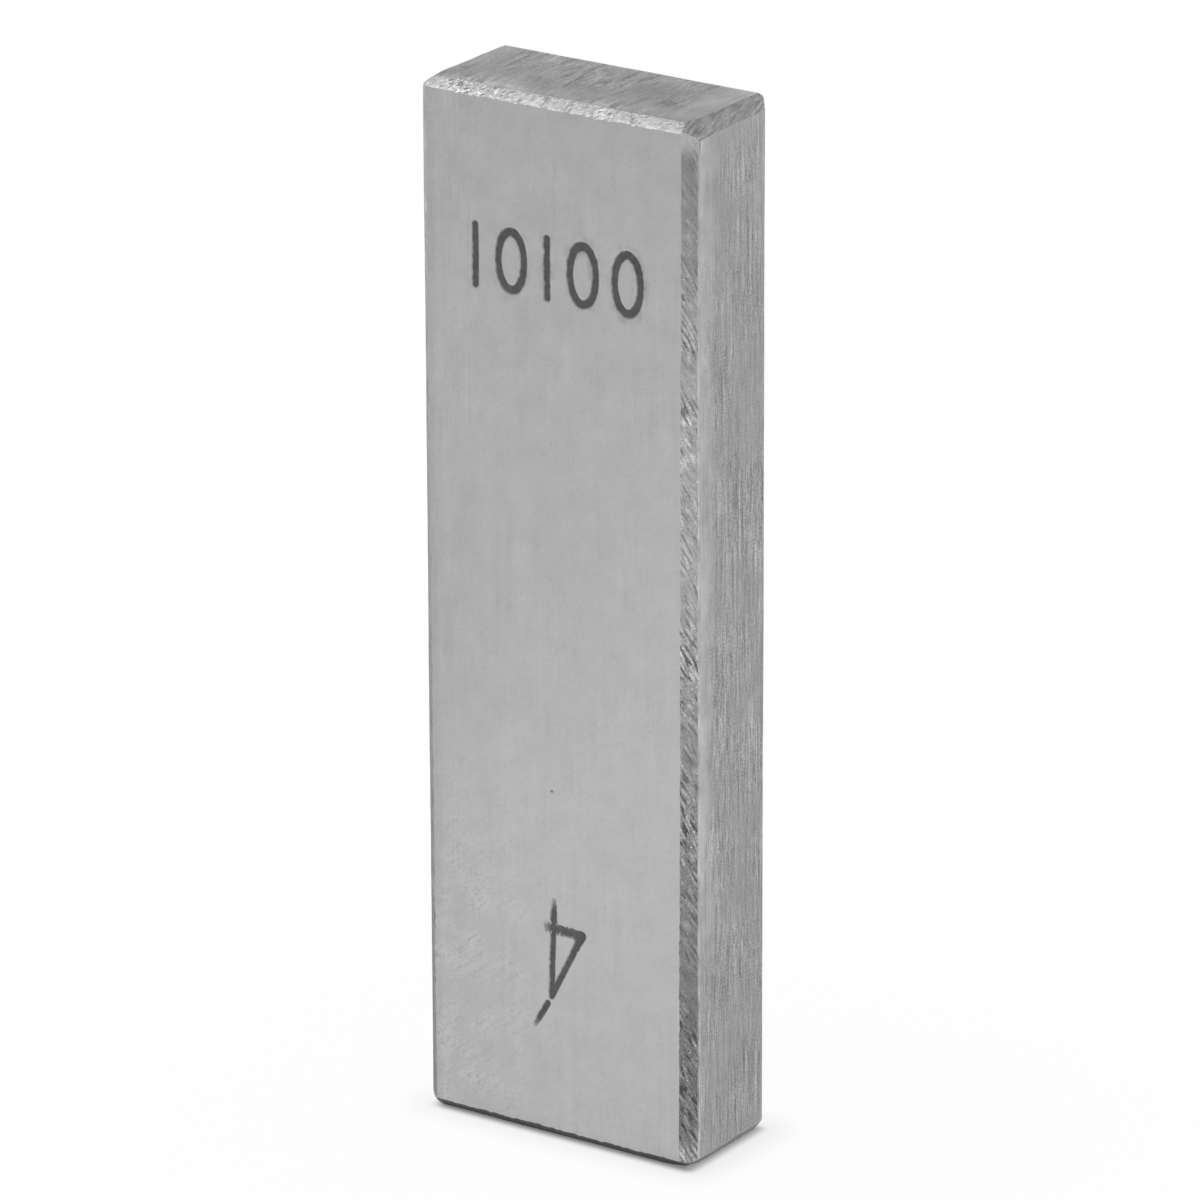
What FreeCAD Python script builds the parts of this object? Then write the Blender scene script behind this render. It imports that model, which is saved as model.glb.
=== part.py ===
import FreeCAD, Part
import os

# Steel gauge block of 4 mm nominal length, one solid, standing on the end of its measuring faces.
# Frame: the origin is the centre of the foot and +Z is up along the long side of the faces.
# Y runs across the nominal length and X across the width. The front measuring face looks along -Y.
# Every length is in millimetres.

Vector = FreeCAD.Vector

# The block
nominal_length = 4.0    # from one measuring face to the other, the size that the block stands for
face_width = 8.9        # a 9 mm face, within its usual allowance of 0.05 to 0.2 mm below that
face_height = 30.0

# The chamfers, dressed by hand on a stone, so that no two are quite alike.
# Each value is how far a chamfer reaches onto the first face, beside the second.
reach_onto = {
    "front": {"left": 0.42, "right": 0.37, "foot": 0.32, "top": 0.25},
    "back": {"left": 0.36, "right": 0.38, "foot": 0.30, "top": 0.28},
    "left": {"front": 0.37, "back": 0.40, "foot": 0.36, "top": 0.38},
    "right": {"front": 0.32, "back": 0.45, "foot": 0.40, "top": 0.40},
    "foot": {"front": 0.34, "back": 0.36, "left": 0.38, "right": 0.34},
    "top": {"front": 0.36, "back": 0.33, "left": 0.40, "right": 0.32},
}
corner_share = 0.82     # a corner facet's reach, as a share of the two chamfer reaches beside it

# The marks, sunk into the front measuring face
mark_depth = 0.03
stroke_width = 0.20

# The number row near the top, made of straight ones and oval zeros
number = ("one", "zero", "one", "zero", "zero")
number_below_top = 3.76     # from the top of the block to the tops of the digits
number_start = -2.52        # the first digit's centre, from the middle of the face
digit_height = 1.88
zero_width = 1.03
zero_side_stroke = 0.20
zero_end_stroke = 0.26      # a zero is drawn heavier at its top and foot
half_room = {"one": 0.44, "zero": 0.72}     # half of the room that each digit takes in the row

# The size numeral near the foot, a 4 that reads upright with the block turned end for end.
# Its apex is its lowest point here, and lengths run up the block from there.
apex_above_foot = 4.26
apex_from_middle = -0.15
stem_length = 2.84
stem_lean = 0.08            # how far the stem's far end stands to the right of the apex
bar_rise = 1.98             # from the apex to the corner where diagonal and bar meet
bar_reach = 1.07            # from the apex to that corner, across the block
bar_overrun = 0.20          # how far the bar runs on past the stem
bar_slope = 0.12            # how much higher the bar's free end is than the corner
bar_stroke = 0.27
diagonal_stroke = 0.17
tick_gap = 0.22             # from the apex to the near end of the diagonal's over-run
tick_length = 0.90

# Outward direction of each face, and how far it is from the block's centre
outward = {
    "front": Vector(0, -1, 0),
    "back": Vector(0, 1, 0),
    "left": Vector(-1, 0, 0),
    "right": Vector(1, 0, 0),
    "foot": Vector(0, 0, -1),
    "top": Vector(0, 0, 1),
}
half_size = {
    "front": nominal_length / 2,
    "back": nominal_length / 2,
    "left": face_width / 2,
    "right": face_width / 2,
    "foot": face_height / 2,
    "top": face_height / 2,
}
block_centre = Vector(0, 0, face_height / 2)
face_y = -nominal_length / 2


def slab_past(reaches):
    """What lies past the sloping plane that meets each named face's neighbours at its reach inward."""
    slope = Vector()
    meeting_point = Vector(block_centre)
    for face, reach in reaches.items():
        slope += outward[face] / reach
        meeting_point += outward[face] * half_size[face]
    face, reach = next(iter(reaches.items()))
    on_plane = meeting_point - outward[face] * reach
    side = 2 * (nominal_length + face_width + face_height)
    slab = Part.makeBox(side, side, side, Vector(-side / 2, -side / 2, 0))
    slab.Placement = FreeCAD.Placement(on_plane, FreeCAD.Rotation(Vector(0, 0, 1), slope))
    return slab


def chamfers():
    """One slab for each of the twelve edges."""
    slabs = []
    pairs = [(face, beside) for face in reach_onto for beside in reach_onto[face]]
    for face, beside in pairs:
        if face < beside:
            reaches = {face: reach_onto[beside][face], beside: reach_onto[face][beside]}
            slabs.append(slab_past(reaches))
    return slabs


def corner_facets():
    """One slab for each of the eight corners, where three chamfers meet."""
    slabs = []
    for side in ("left", "right"):
        for measuring in ("front", "back"):
            for end in ("foot", "top"):
                corner = (side, measuring, end)
                reaches = {}
                for face in corner:
                    beside = [reach_onto[other][face] for other in corner if other != face]
                    reaches[face] = corner_share * sum(beside)
                slabs.append(slab_past(reaches))
    return slabs


def sunk(outline_face):
    """A flat outline that lies on the front face, thickened into a cutter of the marks' depth."""
    start = outline_face.translated(Vector(0, -mark_depth, 0))
    return start.extrude(Vector(0, 2 * mark_depth, 0))


def stroke(start, end, width):
    """A straight stroke with round ends, between two points on the front face."""
    along = (end - start).normalize() * (width / 2)
    across = along.cross(Vector(0, 1, 0))
    edges = [
        Part.LineSegment(start + across, end + across),
        Part.Arc(end + across, end + along, end - across),
        Part.LineSegment(end - across, start - across),
        Part.Arc(start - across, start - along, start + across),
    ]
    wire = Part.Wire([edge.toShape() for edge in edges])
    return sunk(Part.Face(wire))


def oval(centre, width, height):
    """A flat upright ellipse on the front face."""
    top = centre + Vector(0, 0, height / 2)
    side = centre + Vector(width / 2, 0, 0)
    return Part.Face(Part.Wire([Part.Ellipse(top, side, centre).toShape()]))


def one(centre):
    """The digit 1, a plain upright stroke."""
    half = Vector(0, 0, (digit_height - stroke_width) / 2)
    return stroke(centre - half, centre + half, stroke_width)


def zero(centre):
    """The digit 0, an oval ring."""
    outside = oval(centre, zero_width, digit_height)
    inside = oval(centre, zero_width - 2 * zero_side_stroke, digit_height - 2 * zero_end_stroke)
    return sunk(outside.cut(inside))


def number_row():
    """The digits of the number, set out from left to right by the room that each one takes."""
    draw = {"one": one, "zero": zero}
    height = face_height - number_below_top - digit_height / 2
    x = number_start - half_room[number[0]]
    digits = []
    for digit in number:
        x += half_room[digit]
        digits.append(draw[digit](Vector(x, face_y, height)))
        x += half_room[digit]
    return digits


def size_numeral():
    """The 4: stem, diagonal and bar, and the tick where the diagonal's stroke ran on."""
    apex = Vector(apex_from_middle, face_y, apex_above_foot)
    stem_end = apex + Vector(stem_lean, 0, stem_length)
    corner = apex + Vector(bar_reach, 0, bar_rise)
    bar_end = apex + Vector(-bar_overrun, 0, bar_rise + bar_slope)
    down_diagonal = (apex - corner).normalize()
    tick_start = apex + down_diagonal * tick_gap
    tick_end = tick_start + down_diagonal * tick_length
    return [
        stroke(apex, stem_end, stroke_width),
        stroke(apex, corner, diagonal_stroke),
        stroke(corner, bar_end, bar_stroke),
        stroke(tick_start, tick_end, stroke_width),
    ]


def gauge_block():
    """The finished block: a bar of steel, its edges and corners stoned off and its marks sunk."""
    corner = Vector(-face_width / 2, -nominal_length / 2, 0)
    block = Part.makeBox(face_width, nominal_length, face_height, corner)
    block = block.cut(chamfers())
    block = block.cut(corner_facets())
    return block.cut(number_row() + size_numeral())


os.makedirs("parts", exist_ok=True)
solids = gauge_block().Solids
print("solids:", len(solids), " valid:", solids[0].isValid(), " volume mm3:", round(solids[0].Volume, 3))
solids[0].exportStep("parts/gauge_block.step")
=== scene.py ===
# %% [markdown]
# # A steel gauge block
#
# A gauge block is a small bar of hardened steel whose two largest faces are lapped until they
# lie exactly one stated length apart, here 4 mm. The rest is plain workshop finish: ground
# sides, ground ends, and edges broken on a stone by hand.
#
# This lesson dresses the bare CAD solid. It makes one closed mesh of the same form and size,
# gives each face the finish that its own machining leaves, and lights it. Lengths are in
# millimetres until the mesh is written, and in Blender's metres after.

# %% Load the frame
import math
from itertools import chain, product
import bpy
import numpy as np
from mathutils import Matrix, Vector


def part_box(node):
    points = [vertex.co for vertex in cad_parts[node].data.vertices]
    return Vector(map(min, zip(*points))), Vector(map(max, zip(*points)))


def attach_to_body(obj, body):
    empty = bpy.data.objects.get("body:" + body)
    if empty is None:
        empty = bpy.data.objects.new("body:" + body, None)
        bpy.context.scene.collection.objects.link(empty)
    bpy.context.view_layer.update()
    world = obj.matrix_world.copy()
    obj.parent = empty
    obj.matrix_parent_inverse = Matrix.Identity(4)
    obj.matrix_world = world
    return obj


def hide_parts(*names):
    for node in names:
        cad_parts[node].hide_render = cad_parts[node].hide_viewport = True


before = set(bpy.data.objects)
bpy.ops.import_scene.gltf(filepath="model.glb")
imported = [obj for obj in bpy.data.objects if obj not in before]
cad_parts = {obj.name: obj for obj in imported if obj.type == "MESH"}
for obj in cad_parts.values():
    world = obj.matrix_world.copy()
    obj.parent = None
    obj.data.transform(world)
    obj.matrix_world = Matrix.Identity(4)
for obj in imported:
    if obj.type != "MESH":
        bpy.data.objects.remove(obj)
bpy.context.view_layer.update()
MM = 0.001
low, high = (np.array(corner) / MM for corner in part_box("gauge_block"))
half = (high - low) / 2
centre = (high + low) / 2
print("block, mm:", np.round(high - low, 3), " centre:", np.round(centre, 3))

# %% [markdown]
# ## The border of each face
#
# The chamfers were stoned by hand, so each one takes a slightly different bite from its two
# faces. Small tables hold that: how far each chamfer reaches onto a face, how much further it
# reaches at the high end of the edge than at its middle, how torn its border is, and which
# ends are eased. A face is then whatever its four chamfers leave of it.

# %% How far each chamfer reaches
X, Y, Z = 0, 1, 2
side_of = {"left": (X, -1), "right": (X, 1), "front": (Y, -1), "back": (Y, 1), "foot": (Z, -1), "top": (Z, 1)}
name_of = {axis_and_sign: name for name, axis_and_sign in side_of.items()}
reach_onto = {
    "front": {"left": 0.37, "right": 0.37, "foot": 0.32, "top": 0.25},
    "back": {"left": 0.36, "right": 0.38, "foot": 0.30, "top": 0.28},
    "left": {"front": 0.36, "back": 0.40, "foot": 0.36, "top": 0.38},
    "right": {"front": 0.39, "back": 0.45, "foot": 0.40, "top": 0.44},
    "foot": {"front": 0.34, "back": 0.36, "left": 0.38, "right": 0.34},
    "top": {"front": 0.42, "back": 0.33, "left": 0.40, "right": 0.305},
}
widening = {
    ("front", "right"): -0.037, ("front", "left"): -0.02, ("front", "top"): -0.012,
    ("right", "top"): -0.03, ("right", "foot"): 0.036, ("top", "right"): -0.016,
    ("back", "left"): 0.03, ("back", "foot"): 0.02, ("left", "back"): -0.03,
}
torn = {
    ("front", "top"): 0.020, ("top", "front"): 0.014, ("front", "right"): 0.012,
    ("right", "front"): 0.005, ("front", "left"): 0.012, ("front", "foot"): 0.012,
}
eased = {       # which end, how much further there, over what share of the half length
    ("top", "right"): (-1, 0.17, 0.31),
    ("foot", "right"): (-1, 0.15, 0.31),
    ("foot", "front"): (1, 0.15, 0.14),
}
plain_tearing = 0.003       # how far the other borders are torn
torn_lengths = (0.27, 0.41, 0.67, 1.53)     # mm, the lengths of the waves in a torn border
wander = 0.007          # how far a hand-stoned border strays from a straight line
corner_share = {"foot": 0.50, "top": 0.20}      # how much of each mitre the facet at a corner takes


def in_plane(axis):
    """The other two axes, in X, Y, Z order."""
    return [other for other in (X, Y, Z) if other != axis]


def reach(face, beside, along):
    """How far the chamfer beside a neighbour reaches onto a face: its own reach, plus a straight
    widening, the extra of an eased end, two slow waves, and the short waves of a torn border,
    whose lengths don't divide each other. along runs from -1 to 1 and may be an array."""
    phase = 1.7 * list(side_of).index(face) + 2.9 * list(side_of).index(beside)
    slow = np.sin(5.3 * along + phase) + 0.6 * np.sin(12.1 * along + 2.3 * phase)
    along_mm = along * half[3 - side_of[face][0] - side_of[beside][0]]
    short = [np.sin(2 * np.pi * along_mm / length + phase * length * 9) for length in torn_lengths]
    straight = reach_onto[face][beside] + widening.get((face, beside), 0.0) * along
    tearing = torn.get((face, beside), plain_tearing) * sum(short) / 2
    end, extra, share = eased.get((face, beside), (1, 0.0, 1.0))
    straight = straight + extra * np.clip((end * along - 1 + share) / share, 0, 1) ** 1.5
    return straight + (wander * slow + tearing) * (1 - along ** 8)


front = reach_onto["front"]
across_and_up = 2 * half[X] - front["left"] - front["right"], 2 * half[Z] - front["foot"] - front["top"]
print("front face, mm:", np.round(across_and_up, 2))

# %% [markdown]
# ## The marks
#
# The marks are soft-edged strokes sunk a few hundredths of a millimetre into the front face.
# One number says where they are: the distance from a point to the nearest stroke's outline,
# negative inside the stroke. A straight stroke is every point within half a width of a line,
# and a zero is every point near an oval. The mesh takes its depth from that distance, and the
# steel material its darkness.

# %% Distance to the strokes
stroke_width = 0.20
digit_height = 1.88
digit_top = high[Z] - 3.76
digit_middle = digit_top - digit_height / 2
half_room = {"one": 0.44, "zero": 0.72}
number = ("one", "zero", "one", "zero", "zero")
number_start = -2.52


def smooth_step(value):
    """0 below 0, 1 above 1, and an S-shaped curve between."""
    held = np.clip(value, 0, 1)
    return held * held * (3 - 2 * held)


def to_line(x, z, start, end):
    """Distance from points to a line between two ends: drop each point onto the line, keep the
    foot between the ends, and measure to it."""
    along = np.subtract(end, start)
    share = ((x - start[0]) * along[0] + (z - start[1]) * along[1]) / along.dot(along)
    share = np.clip(share, 0, 1)
    return np.hypot(x - start[0] - share * along[0], z - start[1] - share * along[1])


def to_oval(x, z, middle, half_width, half_height):
    """Distance from points to an oval, near it: how far the point's scaled radius is from 1,
    divided by how fast that radius grows there."""
    u = (x - middle[0]) / half_width
    v = (z - middle[1]) / half_height
    radius = np.maximum(np.hypot(u, v), 1e-6)
    growth = np.hypot(u / half_width, v / half_height) / radius
    return np.abs(radius - 1) / np.maximum(growth, 1e-6)


def number_distance(x, z):
    """Distance to the outline of the nearest digit in the number row."""
    nearest = np.full(np.shape(x), 9.0)
    place = number_start - half_room[number[0]]
    for digit in number:
        place += half_room[digit]
        if digit == "one":
            reach_up = (digit_height - stroke_width) / 2
            ends = (place, digit_middle - reach_up), (place, digit_middle + reach_up)
            outline = to_line(x, z, *ends) - stroke_width / 2
        else:
            heaviness = 0.10 + 0.03 * np.abs(z - digit_middle) / (digit_height / 2)
            outline = to_oval(x, z, (place, digit_middle), 0.415, 0.81) - heaviness
        nearest = np.minimum(nearest, outline)
        place += half_room[digit]
    return nearest


def numeral_distance(x, z):
    """Distance to the outline of the size numeral, a 4 that stands on its head."""
    apex = (-0.17, low[Z] + 4.27)
    stem_end = (apex[0] + 0.10, apex[1] + 2.84)
    corner = (apex[0] + 1.02, apex[1] + 2.00)
    bar_end = (apex[0] - 0.10, corner[1] + 0.03)
    tick_start = (apex[0] - 0.125, apex[1] - 0.235)
    tick_end = (apex[0] - 0.55, apex[1] - 0.97)
    above_bar = np.clip((z - corner[1]) / (stem_end[1] - corner[1]), 0, 1)
    stem_half = 0.090 + 0.036 * smooth_step((z - corner[1] + 0.1) / 0.2) - 0.055 * above_bar
    tick_half = 0.060 + 0.030 * np.clip((z - tick_end[1]) / 0.30, 0, 1)
    strokes = [
        to_line(x, z, apex, stem_end) - stem_half,
        to_line(x, z, apex, corner) - 0.095 - 0.03 * smooth_step((z - corner[1] + 0.7) / 0.7),
        to_line(x, z, corner, bar_end) - 0.135,
        to_line(x, z, tick_start, tick_end) - tick_half,
    ]
    return np.minimum.reduce(strokes)


def mark_distance(x, z):
    """Distance to the nearest mark of any kind."""
    return np.minimum(number_distance(x, z), numeral_distance(x, z))


def etch_strength(x, z):
    """How fully the steel is etched: 1 on most strokes, fading at the free end of the numeral's
    bar, at the top of its stem and at the tip of its tick."""
    bar_tip = smooth_step((x + 0.42) / 0.26) + (z > low[Z] + 6.55) + (z < low[Z] + 5.95)
    stem_tip = smooth_step((low[Z] + 7.16 - z) / 0.30) + (z > low[Z] + 8.0)
    tick_tip = smooth_step((z - low[Z] - 3.22) / 0.35)
    shares = [0.45 + 0.55 * np.clip(tip, 0, 1) for tip in (bar_tip, stem_tip, tick_tip)]
    return np.prod(shares, axis=0)


print("number row between", round(digit_top - digit_height, 2), "and", round(digit_top, 2), "mm up")

# %% [markdown]
# ## Six faces as grids
#
# Each face is a grid of two parameters that run from -1 to 1, stretched between its four
# borders. The front face needs fine lines where the marks are and few elsewhere, so its grid
# lines are listed by zone. The ground faces aren't quite flat: each falls away by a few
# micrometres towards its edges, which bends the reflections on it.

# %% Grid lines and face grids
fine = 0.036        # spacing of the lines through the marks
coarse = {X: 0.12, Z: 0.30}     # spacing of the lines elsewhere


def lines_with_zones(axis, half_length, zones):
    """Grid lines from -1 to 1: coarse steps, with fine steps inside each zone (lowest, highest)."""
    stops = [-half_length, *chain(*zones), half_length]
    pieces = []
    for index, (start, end) in enumerate(zip(stops[:-1], stops[1:])):
        step = fine if index % 2 else coarse[axis]
        pieces.append(np.linspace(start, end, max(2, round((end - start) / step)), endpoint=False))
    return np.append(np.concatenate(pieces), half_length) / half_length


mid_height = centre[Z]
across_lines = lines_with_zones(X, half[X] - 0.4, [(-2.7, 3.05)])
mark_zones = [(3.0 - mid_height, 7.35 - mid_height), (24.1 - mid_height, 26.5 - mid_height)]
upright_lines = lines_with_zones(Z, half[Z] - 0.3, mark_zones)
depth_lines = np.linspace(-1, 1, 9)
side_lines = {Y: depth_lines, Z: np.linspace(-1, 1, 61)}
lines = {
    "front": {X: across_lines, Z: upright_lines},
    "back": {X: np.linspace(-1, 1, 13), Z: np.linspace(-1, 1, 41)},
    "left": side_lines,
    "right": side_lines,
    "foot": {X: np.linspace(-1, 1, 25), Y: depth_lines},
    "top": {X: np.linspace(-1, 1, 25), Y: np.linspace(-1, 1, 31)},
}
crown = {"left": 0.012, "right": 0.012, "foot": 0.006, "top": 0.008}       # mm lower at the edges
roll_start, roll_depth = 1.15, 0.022    # the top rolls over towards its front edge
mark_depth = 0.03
mark_wall = 0.045       # width of the sloping wall between the face and a mark's floor


def face_grid(face):
    """Points of one face, one row for each line of its second axis. Along each grid line the
    points share out the room between the two borders that the line meets."""
    axis, sign = side_of[face]
    p, q = in_plane(axis)
    p_lines, q_lines = lines[face][p], lines[face][q]
    p_low = -half[p] + reach(face, name_of[p, -1], q_lines)
    p_high = half[p] - reach(face, name_of[p, 1], q_lines)
    q_low = -half[q] + reach(face, name_of[q, -1], p_lines)
    q_high = half[q] - reach(face, name_of[q, 1], p_lines)
    p_share = (p_lines[None, :] + 1) / 2
    q_share = (q_lines[:, None] + 1) / 2
    points = np.zeros((len(q_lines), len(p_lines), 3))
    points[..., p] = p_low[:, None] * (1 - p_share) + p_high[:, None] * p_share
    points[..., q] = q_low[None, :] * (1 - q_share) + q_high[None, :] * q_share
    narrow = p if half[p] < half[q] else q
    fall = crown.get(face, 0.0) * (points[..., narrow] / half[narrow]) ** 4
    if face == "top":
        room = half[Y] - reach_onto["top"]["front"] - roll_start
        fall = fall + roll_depth * np.clip((-points[..., Y] - roll_start) / room, 0, None) ** 2
    if face == "front":
        distance = mark_distance(points[..., X], points[..., Z] + centre[Z])
        fall = fall + mark_depth * smooth_step(0.5 - distance / mark_wall)
    points[..., axis] = sign * (half[axis] - fall)
    return points


grids = {face: face_grid(face) for face in side_of}
print("grid sizes:", {face: grid.shape[:2] for face, grid in grids.items()})

# %% [markdown]
# ## Chamfers and corners
#
# A chamfer is a strip of rows from the border of one face to the border of the next, bowed
# outwards very slightly, because a stone moved by hand always rocks. The two borders can have
# different numbers of points, so the last row is stitched: each step along either row makes one
# triangle. Where three chamfers meet, a small facet takes the sharpness off the corner.

# %% Collect points and polygons
all_points = []
polygons = []       # one entry for each patch: corner indices, zone name, texture directions
face_ids = {}


def add_points(points):
    """Stores an array of points and returns their indices in the same layout."""
    start = sum(len(block) for block in all_points)
    flat = np.reshape(points, (-1, 3))
    all_points.append(flat)
    return (start + np.arange(len(flat))).reshape(np.shape(points)[:-1])


def add_patch(corners, part, zone, outward, across, along):
    """Stores polygons that share a finish. Half the sum of the cross products of neighbouring
    corners is a polygon's area vector: where it points into the block, the winding is turned."""
    points = np.concatenate(all_points)[corners]
    areas = np.cross(points, np.roll(points, -1, axis=1)).sum(axis=1)
    if areas.sum(axis=0).dot(outward) < 0:
        corners = corners[:, ::-1]
    polygons.append({"corners": corners, "part": part, "zone": zone, "across": across, "along": along})


def unit(vector):
    """The vector at length 1."""
    return np.asarray(vector, float) / np.linalg.norm(vector)


def axis_vector(face):
    """The outward direction of a face."""
    axis, sign = side_of[face]
    return sign * np.eye(3)[axis]


def grid_quads(ids):
    """The quads between the rows of a grid of indices."""
    return np.stack([ids[:-1, :-1], ids[:-1, 1:], ids[1:, 1:], ids[1:, :-1]], axis=-1).reshape(-1, 4)


zone_of_axis = {Y: "lapped", X: "side", Z: "end"}
for face, grid in grids.items():
    ids = face_ids[face] = add_points(grid)
    axis = side_of[face][0]
    p, q = in_plane(axis)
    add_patch(grid_quads(ids), face, zone_of_axis[axis], axis_vector(face), np.eye(3)[p], np.eye(3)[q])
print("faces:", sum(len(patch["corners"]) for patch in polygons), "quads")

# %% Strips for the twelve chamfers
strip_rows = 4
bow = 0.006
strip_ends = {}


def border(face, beside):
    """Indices, and places from -1 to 1, of the row of a face's grid that lies beside a neighbour."""
    axis, sign = side_of[beside]
    p, q = in_plane(side_of[face][0])
    ids = face_ids[face]
    index = 0 if sign < 0 else -1
    if axis == p:
        return ids[:, index], lines[face][q]
    return ids[index, :], lines[face][p]


def stitch(first, first_places, second, second_places):
    """Triangles between two rows that run the same way. The steps of both rows are taken in the
    order of their places, and each step makes a triangle with the other row's latest point."""
    places = np.concatenate([first_places[1:], second_places[1:]])
    on_first = np.arange(len(places)) < len(first) - 1
    on_first = on_first[np.argsort(places, kind="stable")]
    i = np.cumsum(on_first) - on_first
    j = np.cumsum(~on_first) - ~on_first
    next_first = first[np.minimum(i + 1, len(first) - 1)]
    next_second = second[np.minimum(j + 1, len(second) - 1)]
    third = np.where(on_first, next_first, next_second)
    return np.stack([first[i], third, second[j]], axis=-1)


usual_lay = {X: 28, Y: 9, Z: -10}       # degrees from the edge's own direction
stone_lay = {("front", "right"): 25, ("front", "top"): -40, ("front", "left"): -22, ("right", "top"): -14}


def strip_frame(face, beside):
    """Outward direction of the plane that cuts two faces at their reaches, and the directions
    across and along the stone's scratches, which are turned in that plane from the edge's own."""
    edge_axis = 3 - side_of[face][0] - side_of[beside][0]
    on_face, on_beside = reach_onto[face][beside], reach_onto[beside][face]
    outward = axis_vector(face) / on_beside + axis_vector(beside) / on_face
    across_edge = unit(axis_vector(beside) * on_face - axis_vector(face) * on_beside)
    edge = np.eye(3)[edge_axis]
    turn = math.radians(stone_lay.get((face, beside), usual_lay[edge_axis]))
    across = across_edge * math.cos(turn) + edge * math.sin(turn)
    along = edge * math.cos(turn) - across_edge * math.sin(turn)
    return outward, across, along


def chamfer_strip(face, beside):
    """Rows from one border to the other. The finer border gives the rows their places, and the
    last row is stitched to the coarser one."""
    part = face + "_" + beside
    outward, across, along = strip_frame(face, beside)
    start, start_places = border(face, beside)
    end, end_places = border(beside, face)
    if len(start) < len(end):
        face, beside = beside, face
        start, start_places, end, end_places = end, end_places, start, start_places
    points = np.concatenate(all_points)
    far_side = [np.interp(start_places, end_places, points[end, axis]) for axis in (X, Y, Z)]
    far_side = np.stack(far_side, axis=-1)
    rows = [start]
    for row in range(1, strip_rows):
        share = row / strip_rows
        lift = 4 * bow * share * (1 - share) * unit(outward)
        rows.append(add_points(points[start] * (1 - share) + far_side * share + lift))
    last = stitch(rows[-1], start_places, end, end_places)
    for corners in (grid_quads(np.stack(rows)), last):
        add_patch(corners, part, "chamfer", outward, across, along)
    for index, sign in ((0, -1), (-1, 1)):
        end_name = name_of[3 - side_of[face][0] - side_of[beside][0], sign]
        row_across = [row[index] for row in rows] + [end[index]]
        strip_ends[face, beside, end_name] = row_across
        strip_ends[beside, face, end_name] = row_across[::-1]


strips = [(face, beside) for face in side_of for beside in reach_onto[face] if face < beside]
for face, beside in strips:
    chamfer_strip(face, beside)
print("points after the chamfers:", sum(len(block) for block in all_points))

# %% Mitres and facets at the eight corners
def corner_point(face, first, second):
    """Index of a face grid's corner beside two neighbours."""
    ids, _ = border(face, first)
    return ids[0] if side_of[second][1] < 0 else ids[-1]


for trio in product(("left", "right"), ("front", "back"), ("foot", "top")):
    side, measuring, end = trio
    points = np.concatenate(all_points)
    at_face = {face: corner_point(face, *[other for other in trio if other != face]) for face in trio}
    pairs = [tuple(sorted(pair)) for pair in ((side, measuring), (measuring, end), (side, end))]
    planes = np.array([strip_frame(*pair)[0] for pair in pairs])
    middles = [(points[at_face[a]] + points[at_face[b]]) / 2 for a, b in pairs]
    levels = [plane.dot(middle) for plane, middle in zip(planes, middles)]
    apex = np.linalg.solve(planes, levels)
    facet = {face: apex + corner_share[end] * (points[at_face[face]] - apex) for face in trio}
    facet_ids = dict(zip(trio, add_points(np.array([facet[face] for face in trio]))))
    for a, b in pairs:
        third = next(face for face in trio if face not in (a, b))
        outline = strip_ends[a, b, third] + [facet_ids[b], facet_ids[a]]
        add_patch(np.array([outline]), a + "_" + b, "chamfer", *strip_frame(a, b))
    outward = unit(sum(axis_vector(face) for face in trio))
    facet_outline = np.array([[facet_ids[face] for face in trio]])
    add_patch(facet_outline, "_".join(trio), "chamfer", outward, *strip_frame(*pairs[0])[1:])
print("patches:", len(polygons))

# %% [markdown]
# ## One closed mesh
#
# The patches already share their border points, so nothing needs merging. The UV map holds
# millimetres across and along each patch's own direction, so a finish can be drawn out the way
# that the stone or wheel ran.

# %% Write the mesh
zones = ["lapped", "side", "end", "chamfer", "burnished"]
points = np.concatenate(all_points)
corner_lists = [list(map(int, corners)) for patch in polygons for corners in patch["corners"]]
mesh = bpy.data.meshes.new("gauge_block_dressed")
mesh.from_pydata((points + centre) * MM, [], corner_lists)
patch_of_polygon = np.repeat(np.arange(len(polygons)), [len(patch["corners"]) for patch in polygons])
zone_of_patch = np.array([zones.index(patch["zone"]) for patch in polygons])
mesh.polygons.foreach_set("material_index", zone_of_patch[patch_of_polygon].astype(np.int32))

polygon_of_corner = np.repeat(np.arange(len(corner_lists)), [len(corners) for corners in corner_lists])
patch_of_corner = patch_of_polygon[polygon_of_corner]
place = points[np.concatenate([patch["corners"].ravel() for patch in polygons])]
place_up = place + centre
names = [patch["part"] for patch in polygons]


def per_corner(values):
    """Hands each patch's value to all its corners."""
    return np.array(values)[patch_of_corner]


def on_part(part):
    """Which corners belong to a part."""
    return per_corner([name == part for name in names])


def attach(label, domain, values):
    """Stores one number for each corner, point or edge of the mesh."""
    mesh.attributes.new(label, "FLOAT", domain).data.foreach_set("value", values.astype(np.float32))


across = per_corner([patch["across"] for patch in polygons])
along = per_corner([patch["along"] for patch in polygons])
shift = 7.3 * per_corner([sum(patch["across"] * (1.0, 2.0, 3.0)) for patch in polygons])
uv = np.stack([(place * across).sum(axis=1) + shift, (place * along).sum(axis=1) + shift], axis=-1)
uv_layer = mesh.uv_layers.new(name="finish_mm")
uv_layer.uv.foreach_set("vector", uv.ravel().astype(np.float32))
print("triangles:", sum(len(corners) - 2 for corners in corner_lists))
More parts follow.
